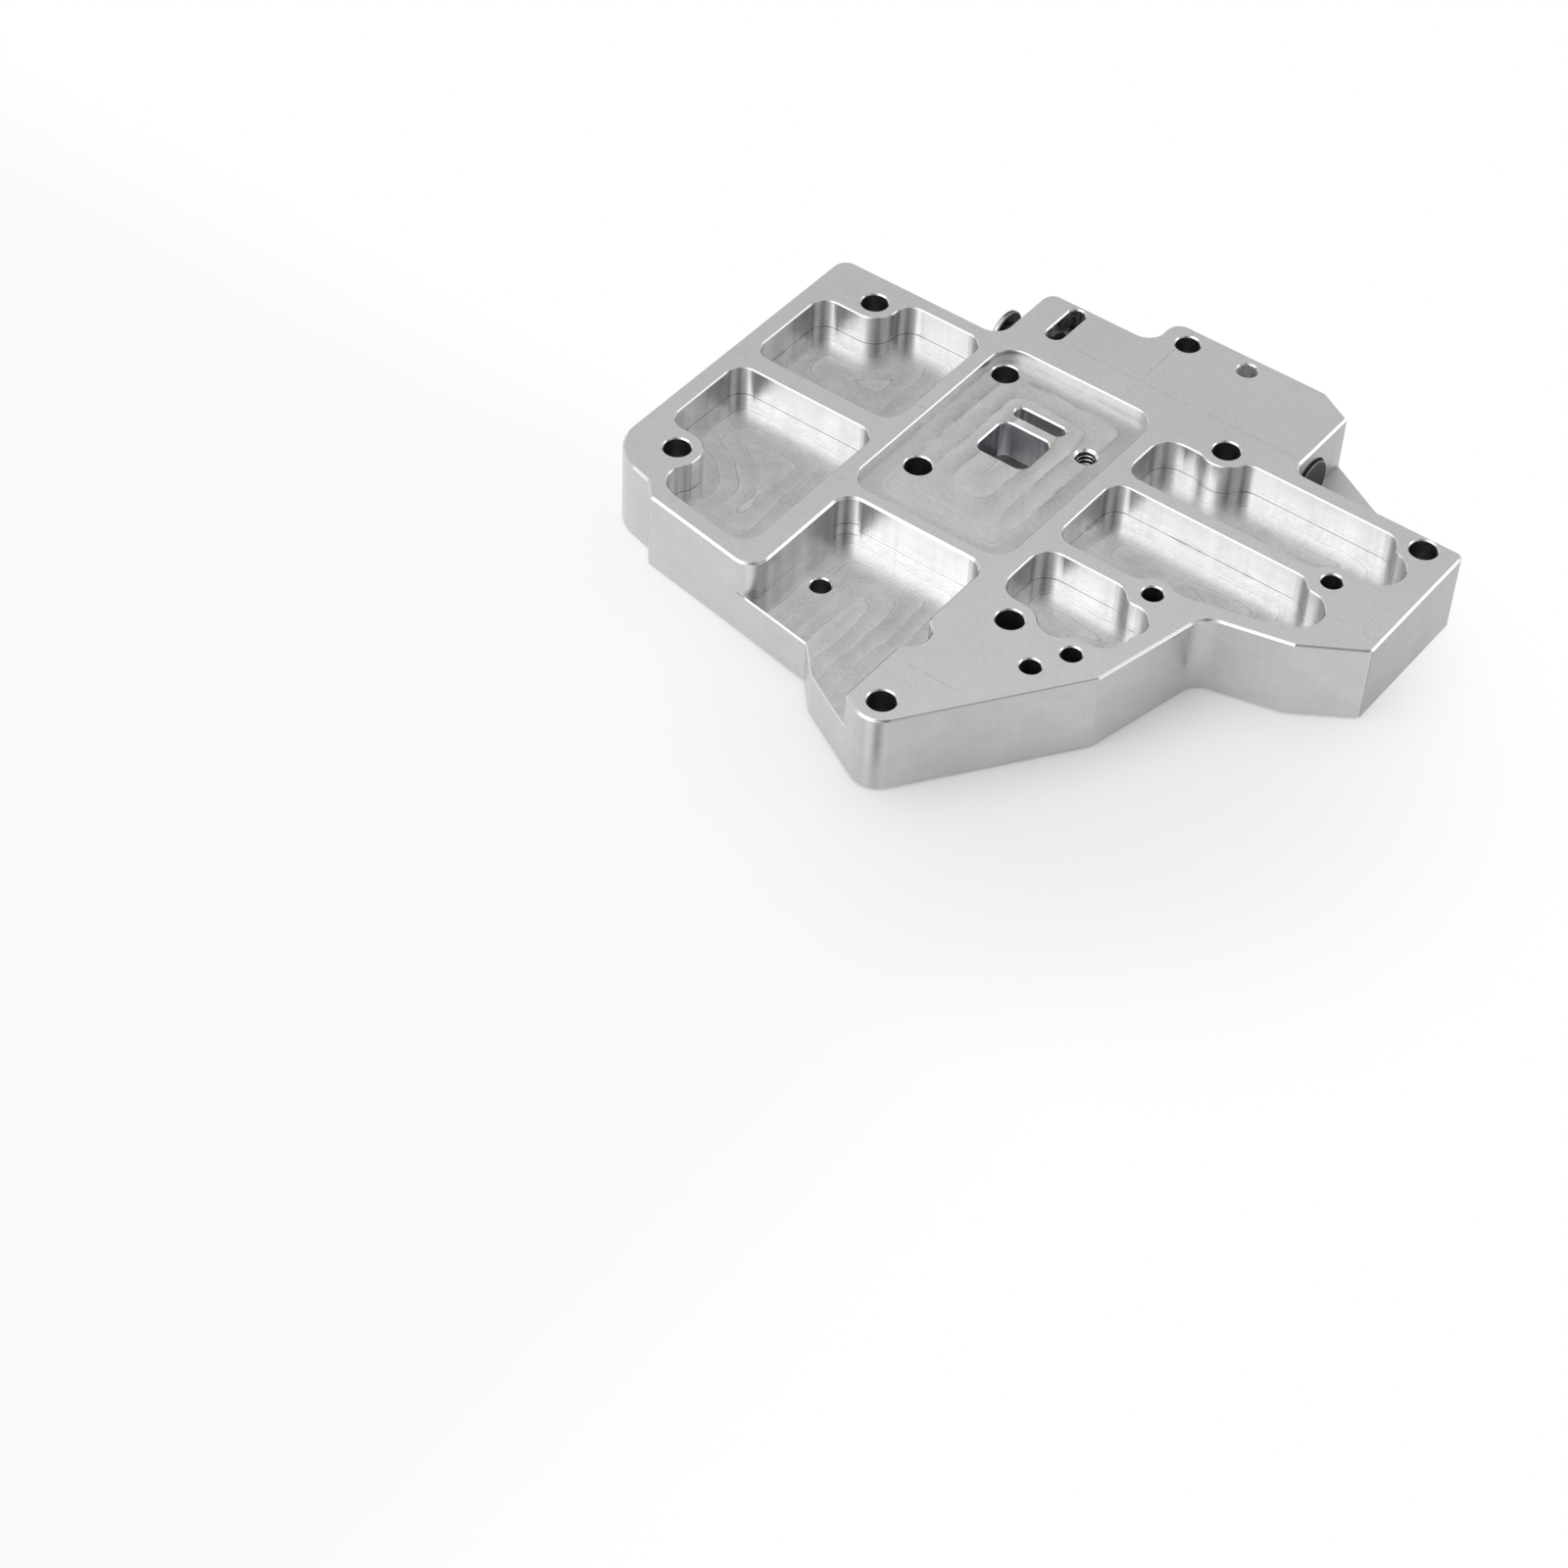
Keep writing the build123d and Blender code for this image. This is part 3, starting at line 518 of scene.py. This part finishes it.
def upright_kind(x, y, z, normal, below):
    """Which wall an upright face belongs to. Below is the height of the floor beside it, if any."""
    for place, width in DRILLED:
        if (Vector((x, y)) - Vector(place)).length < width / 2 + HOLE_MARGIN:
            return {TAPPED_HOLE: "tapped", LOCATING_HOLE: "reamed"}.get(place, "hole")
    if z < PANEL_FLOOR and within(x, y, WINDOW, WINDOW_RELIEF + WALL_MARGIN):
        if min(abs(normal.x), abs(normal.y)) > SLANTED:
            return "window_corner"
        return "window" if abs(normal.y) > 0.5 else "window_side"
    in_panel_slot = z < PANEL_FLOOR and within(x, y, PANEL_SLOT, WALL_MARGIN)
    if in_panel_slot or within(x, y, TAB_SLOT, WALL_MARGIN):
        return "slot"
    if below is None:
        # A face square to the right gets the right end's painted shade.
        return "shaded_right_end" if normal.x > SQUARE_ON and x > SIDE_BEND_X else "outer"
    if OPEN_FLOOR - WALL_MARGIN < below < DEEP_FLOOR + WALL_MARGIN:
        if within(x, y, MOUTH_CORNER, MOUTH_MARGIN):
            return "mouth"
        # A corner turned to face left gets painted shade by how far it turns.
        if normal.x < -FAR_CORNER_START:
            turned = int(-normal.x * len(FAR_CORNER_SHADE_LEVELS))
            return "shaded_far_corner_" + str(min(turned, len(FAR_CORNER_SHADE_LEVELS) - 1))
        if min(normal.x, abs(normal.y)) > CORNER_START:
            return "corner"
    if abs(below - DEEP_FLOOR) < SAME_LEVEL:
        return "deep_left_wall" if normal.x > SQUARE_ON else "deep_wall"
    if abs(below - OPEN_FLOOR) < SAME_LEVEL:
        return "open_left_wall" if normal.x > SQUARE_ON else "open_wall"
    if below < LEDGE_FLOOR + SAME_LEVEL:
        return "ledge_wall"
    return "panel_wall"


def cut_kind(face):
    """Which cut made a face of the block."""
    x, y, z = face.center / MM - Vector((*DATUM, 0))
    normal = face.normal
    from_axis = (Vector((y, z)) - Vector(BORE_AXIS)).length
    if from_axis < BORE / 2 + BORE_MARGIN and abs(normal.x) < SLANTED:
        return "bore"
    if normal.z < -SQUARE_ON:
        return "underside"
    if normal.z > SQUARE_ON:
        return floor_kind(x, y, z)
    if abs(normal.z) > SLANTED:
        # A chamfer facing down gets the painted contact shadow.
        if normal.z < 0:
            return "shadowed_low_edge"
        if abs(z - OPEN_FLOOR) < SILL_MARGIN:
            return "sill"
        # A chamfer facing the far side gets the painted shade.
        return "shaded_far_edge" if normal.dot(FAR_SIDE) > SLANTED else "edge"
    beside = solid.ray_cast(face.center + normal * MM, Vector((0, 0, -1)))[0]
    return upright_kind(x, y, z, normal, None if beside is None else beside.z / MM)


def dress(node, looks, kind_of):
    """Gives each face of a node the finish that is named by its kind."""
    kinds = list(looks)
    node.data.materials.clear()
    for kind in kinds:
        node.data.materials.append(looks[kind])
    for face in node.data.polygons:
        face.material_index = kinds.index(kind_of(face))


body = frame["nodes"]["valve_body"]
solid = BVHTree.FromPolygons([corner.co for corner in body.data.vertices],
                             [face.vertices for face in body.data.polygons])
dress(body, finishes, cut_kind)

# The quarter inch thread is cut with a tap down the whole of its hole: twenty turns an
# inch, with sharp bright crests between roots that are painted near black, as shade.
THREAD_PITCH = 1.27
THREAD_ROOT = 2.62
THREAD_ROOT_HALF = THREAD_PITCH * 0.30
THREAD_CREST = 2.30
THREAD_CREST_HALF = THREAD_PITCH * 0.05
THREAD_BRIGHT = (THREAD_CREST + 0.03, THREAD_CREST + 0.14)
THREAD_START = 18.5
THREAD_TURNS = 13
THREAD_STEPS = 30


def new_object(name, data):
    """Adds an object to the scene."""
    made = bpy.data.objects.new(name, data)
    bpy.context.scene.collection.objects.link(made)
    return made


thread_mesh = bpy.data.meshes.new("bolt_thread")
builder = bmesh.new()
profile = [builder.verts.new((radius * MM, 0, height * MM)) for radius, height in (
    (THREAD_ROOT, -THREAD_ROOT_HALF), (THREAD_CREST, -THREAD_CREST_HALF),
    (THREAD_CREST, THREAD_CREST_HALF), (THREAD_ROOT, THREAD_ROOT_HALF))]
start = builder.faces.new(profile)
bmesh.ops.spin(builder, geom=[start, *start.edges, *start.verts], cent=(0, 0, 0), axis=(0, 0, 1),
               dvec=(0, 0, -THREAD_PITCH / THREAD_STEPS * MM), angle=2 * pi * THREAD_TURNS,
               steps=THREAD_STEPS * THREAD_TURNS)
hole_x, hole_y = TAPPED_HOLE
bmesh.ops.translate(builder, verts=builder.verts,
                    vec=Vector((hole_x + DATUM[0], hole_y + DATUM[1], THREAD_START)) * MM)
bmesh.ops.recalc_face_normals(builder, faces=builder.faces)
builder.to_mesh(thread_mesh)
builder.free()
thread = new_object("bolt_thread", thread_mesh)
made, wire = new_material("aluminium_cut_thread")
point = place_on_block(wire)
axis = wire.node("CombineXYZ", (), {0: hole_x, 1: hole_y, 2: part(point, "Z")})
from_axis = wire.node("VectorMath", {"operation": "DISTANCE"}, {0: point, 1: axis}, "Value")
# Painted shade: all but the crests is painted near black.
on_crest = 1.0 - ramp(from_axis, *THREAD_BRIGHT)
grain = noise(point, 3.0)
finish_metal(wire, 0.02 + on_crest * 0.80 + (grain - 0.5) * 0.05, WARM_TINT, 0.25, grain, 0.05)
thread_mesh.materials.append(made)
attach(thread, "block")

# The spool is turned from steel, hardened and ground, and slides in the cross bore.
# Its flange stands out on the left, with a bright rim, painted darker on its back half as
# shade, and a near-black face. Its plain end shows where the bore opens over the ledge, and is
# dark with a brighter chamfer.
FLANGE_SIDE_X = -60.0
CHAMFERED = 0.4
STEEL_TINT = (0.97, 0.98, 1.0)
# The span in y over which the rim's painted shade comes in.
RIM_SHADE_SPAN = (BORE_AXIS[0] - 3.5, BORE_AXIS[0] + 1.5)


def turned_steel(name, level, roughness, metallic=1.0, worn=0.0):
    """Steel with turning marks round its axis and a faint stain.

    Worn is how much darker its back half is painted, as shade.
    """
    made, wire = new_material(name)
    point = place_on_block(wire)
    turned = noise(point, 1.4, (1, 0.05, 0.05))
    stain = noise(point, 0.35)
    tone = level + (stain - 0.5) * level * 0.5 + (turned - 0.5) * level * 0.4
    # Painted shade on the back half of the flange's rim.
    tone = tone - ramp(part(point, "Y"), *RIM_SHADE_SPAN) * worn
    finish_metal(wire, tone, STEEL_TINT, roughness + (stain - 0.5) * 0.12, turned, 0.08, metallic)
    return made


def turned_kind(face):
    """Which turned surface of the spool a face belongs to."""
    across = abs(face.normal.x)
    if face.center.x / MM - DATUM[0] < FLANGE_SIDE_X:
        if across > SQUARE_ON:
            return "flange_face"
        return "flange_edge" if face.normal.x < -CHAMFERED else "flange_rim"
    if across > SQUARE_ON:
        return "plain_end"
    return "end_chamfer" if across > CHAMFERED else "ground_land"


steel_finishes = {
    "flange_rim": turned_steel("steel_flange_rim", 0.48, 0.22, worn=0.32),
    "flange_face": turned_steel("steel_flange_face", 0.007, 0.50, 0.0),
    "ground_land": turned_steel("steel_ground_land", 0.04, 0.30, 0.3),
    "plain_end": turned_steel("steel_plain_end", 0.045, 0.45, 0.3),
    "end_chamfer": turned_steel("steel_end_chamfer", 0.14, 0.35),
    "flange_edge": turned_steel("steel_flange_edge", 0.03, 0.40, 0.3),
}
dress(frame["nodes"]["manual_valve"], steel_finishes, turned_kind)

# The block lies on a wide sheet of pale card that carries a soft shadow of it, partly cast by
# the lamps and partly painted, where the card's glow is dimmed round the shade centre at the
# block's front right. Under the block the card is seen in the light of the lamps. Away from it
# the card fades to the white of the studio, with painted shade that makes it greyer on the
# front left.
CARD_HALF = 6.0
CARD_DROP = 0.0002
CARD_COLOUR = (0.79, 0.79, 0.797, 1)
# Where the card's painted shadow is centred and how it fades, and where its painted shade lies on the
# front left.
CARD_FADE = (0.035, 0.08)
SHADE_CENTRE = (0.05, -0.035, 0.0)
SHADE_FADE = (0.03, 0.12)
GREY_FRONT = (-0.05, 0.0)
GREY_LEFT = (0.04, 0.11)
WHITE = (1, 1, 1, 1)

card_mesh = bpy.data.meshes.new("floor")
builder = bmesh.new()
bmesh.ops.create_grid(builder, x_segments=1, y_segments=1, size=CARD_HALF)
bmesh.ops.translate(builder, verts=builder.verts, vec=(0, 0, -CARD_DROP))
builder.to_mesh(card_mesh)
builder.free()
card = new_object("floor", card_mesh)
paper, wire = new_material("pale_card")
camera_ray, glossy_ray, passing_ray = [wire.node("LightPath", output="Is " + kind + " Ray")
                                       for kind in ("Camera", "Glossy", "Transmission")]
seen = wire.maths("MINIMUM", camera_ray + glossy_ray + passing_ray, 1.0)
spot = wire.node("TexCoord", output="Object")
outward = wire.node("VectorMath", {"operation": "LENGTH"}, {0: spot}, "Value")
from_shade = wire.node("VectorMath", {"operation": "DISTANCE"}, {0: spot, 1: SHADE_CENTRE}, "Value")
# Painted shadow round the shade centre and painted shade on the front left dim the glow.
painted_front_left_shade = (1.0 - ramp(part(spot, "Y"), *GREY_FRONT)) * (1.0 - ramp(part(spot, "X"), *GREY_LEFT))
glow = (0.15 + ramp(outward, *CARD_FADE) * 0.85) * (0.28 + ramp(from_shade, *SHADE_FADE) * 0.72)
glow = glow * (1.0 - painted_front_left_shade * 0.30)
matt = wire.node("BsdfDiffuse", (), {"Color": CARD_COLOUR})
bright = wire.node("Emission", (), {"Color": WHITE, "Strength": 1.0})
mixed = wire.node("MixShader", (), {0: seen * glow, 1: matt, 2: bright})
wire.node("OutputMaterial", (), {"Surface": mixed})
card_mesh.materials.append(paper)

# Studio light: a pale room that glows on the front left and is dimmer behind the camera,
# with gaps between its white screens in front and on the right, and two large soft boxes.
CAMERA_SIDE = Vector((0.45, -0.62, 0.64)).normalized()
SCREEN_GAPS = ((-1.45, 0.16), (-0.60, 0.48), (0.42, 0.20))
SCREEN_FOOT = (0.15, 0.35)
SCREEN_HEAD = (0.85, 0.95)
SKY_FADE = (0.2, 0.6)
DIM_FADE = (0.55, 0.95)
GLOW_SIDE = Vector((-0.32, -0.66, 0.68)).normalized()
GLOW_FADE = (0.80, 0.97)

world = bpy.data.worlds.new("studio")
world.use_nodes = True
world.node_tree.nodes.clear()
bpy.context.scene.world = world
wire = Wire(world.node_tree)
direction = wire.node("TexCoord", output="Generated")
x, y, z = [part(direction, axis) for axis in "XYZ"]
facing = wire.node("VectorMath", {"operation": "DOT_PRODUCT"}, {0: direction, 1: CAMERA_SIDE}, "Value")
dim = ramp(facing, *DIM_FADE)
round_room = wire.maths("ARCTAN2", y, x)
gaps = 0.0
for bearing, width in SCREEN_GAPS:
    gaps = soft_line(round_room - bearing, width) + gaps
gaps = gaps * ramp(z, *SCREEN_FOOT) * (1.0 - ramp(z, *SCREEN_HEAD))
sky = 1.0 - ramp(z, *SKY_FADE) * 0.28
towards_glow = wire.node("VectorMath", {"operation": "DOT_PRODUCT"}, {0: direction, 1: GLOW_SIDE},
                         "Value")
glow = ramp(towards_glow, *GLOW_FADE) * 1.6
strength = sky * (1.0 - dim * 0.10) * (1.0 - gaps * 0.62) + glow
backing = wire.node("Background", (), {"Color": WHITE, "Strength": strength})
wire.node("OutputWorld", (), {"Surface": backing})


def soft_box(name, place, size, power):
    """A rectangular lamp that faces the block."""
    lamp = bpy.data.lights.new(name, "AREA")
    lamp.shape = "RECTANGLE"
    lamp.size, lamp.size_y = size
    lamp.energy = power
    holder = new_object(name, lamp)
    holder.location = place
    holder.rotation_euler = (-Vector(place)).to_track_quat("-Z", "Y").to_euler()


soft_box("right_back_box", (1.2, 0.9, 0.65), (1.2, 0.5), 2.2)
soft_box("top_box", (-0.4, 0.3, 1.6), (1.4, 1.0), 4.0)

# Camera at the photograph's place: a long lens, looking down at about 46 degrees.
CAMERA_PLACE = (0.354105, -0.599907, 0.633089)
CAMERA_RIGHT = Vector((0.794995, 0.605560, 0.035786))
CAMERA_DOWN = Vector((0.454324, -0.555282, -0.696600))
FOCAL_PIXELS = 3792.98
PHOTO_PIXELS = 1600
SENSOR = 36.0

eye = bpy.data.cameras.new("camera")
eye.sensor_width = SENSOR
eye.lens = FOCAL_PIXELS / PHOTO_PIXELS * SENSOR
eye.clip_start = 0.01
eye.clip_end = 50.0
camera = new_object("camera", eye)
forward = CAMERA_RIGHT.cross(CAMERA_DOWN)
turn = Matrix((CAMERA_RIGHT, -CAMERA_DOWN, -forward)).transposed()
camera.matrix_world = Matrix.Translation(CAMERA_PLACE) @ turn.to_4x4()
bpy.context.scene.camera = camera
bpy.context.scene.view_settings.view_transform = "Standard"
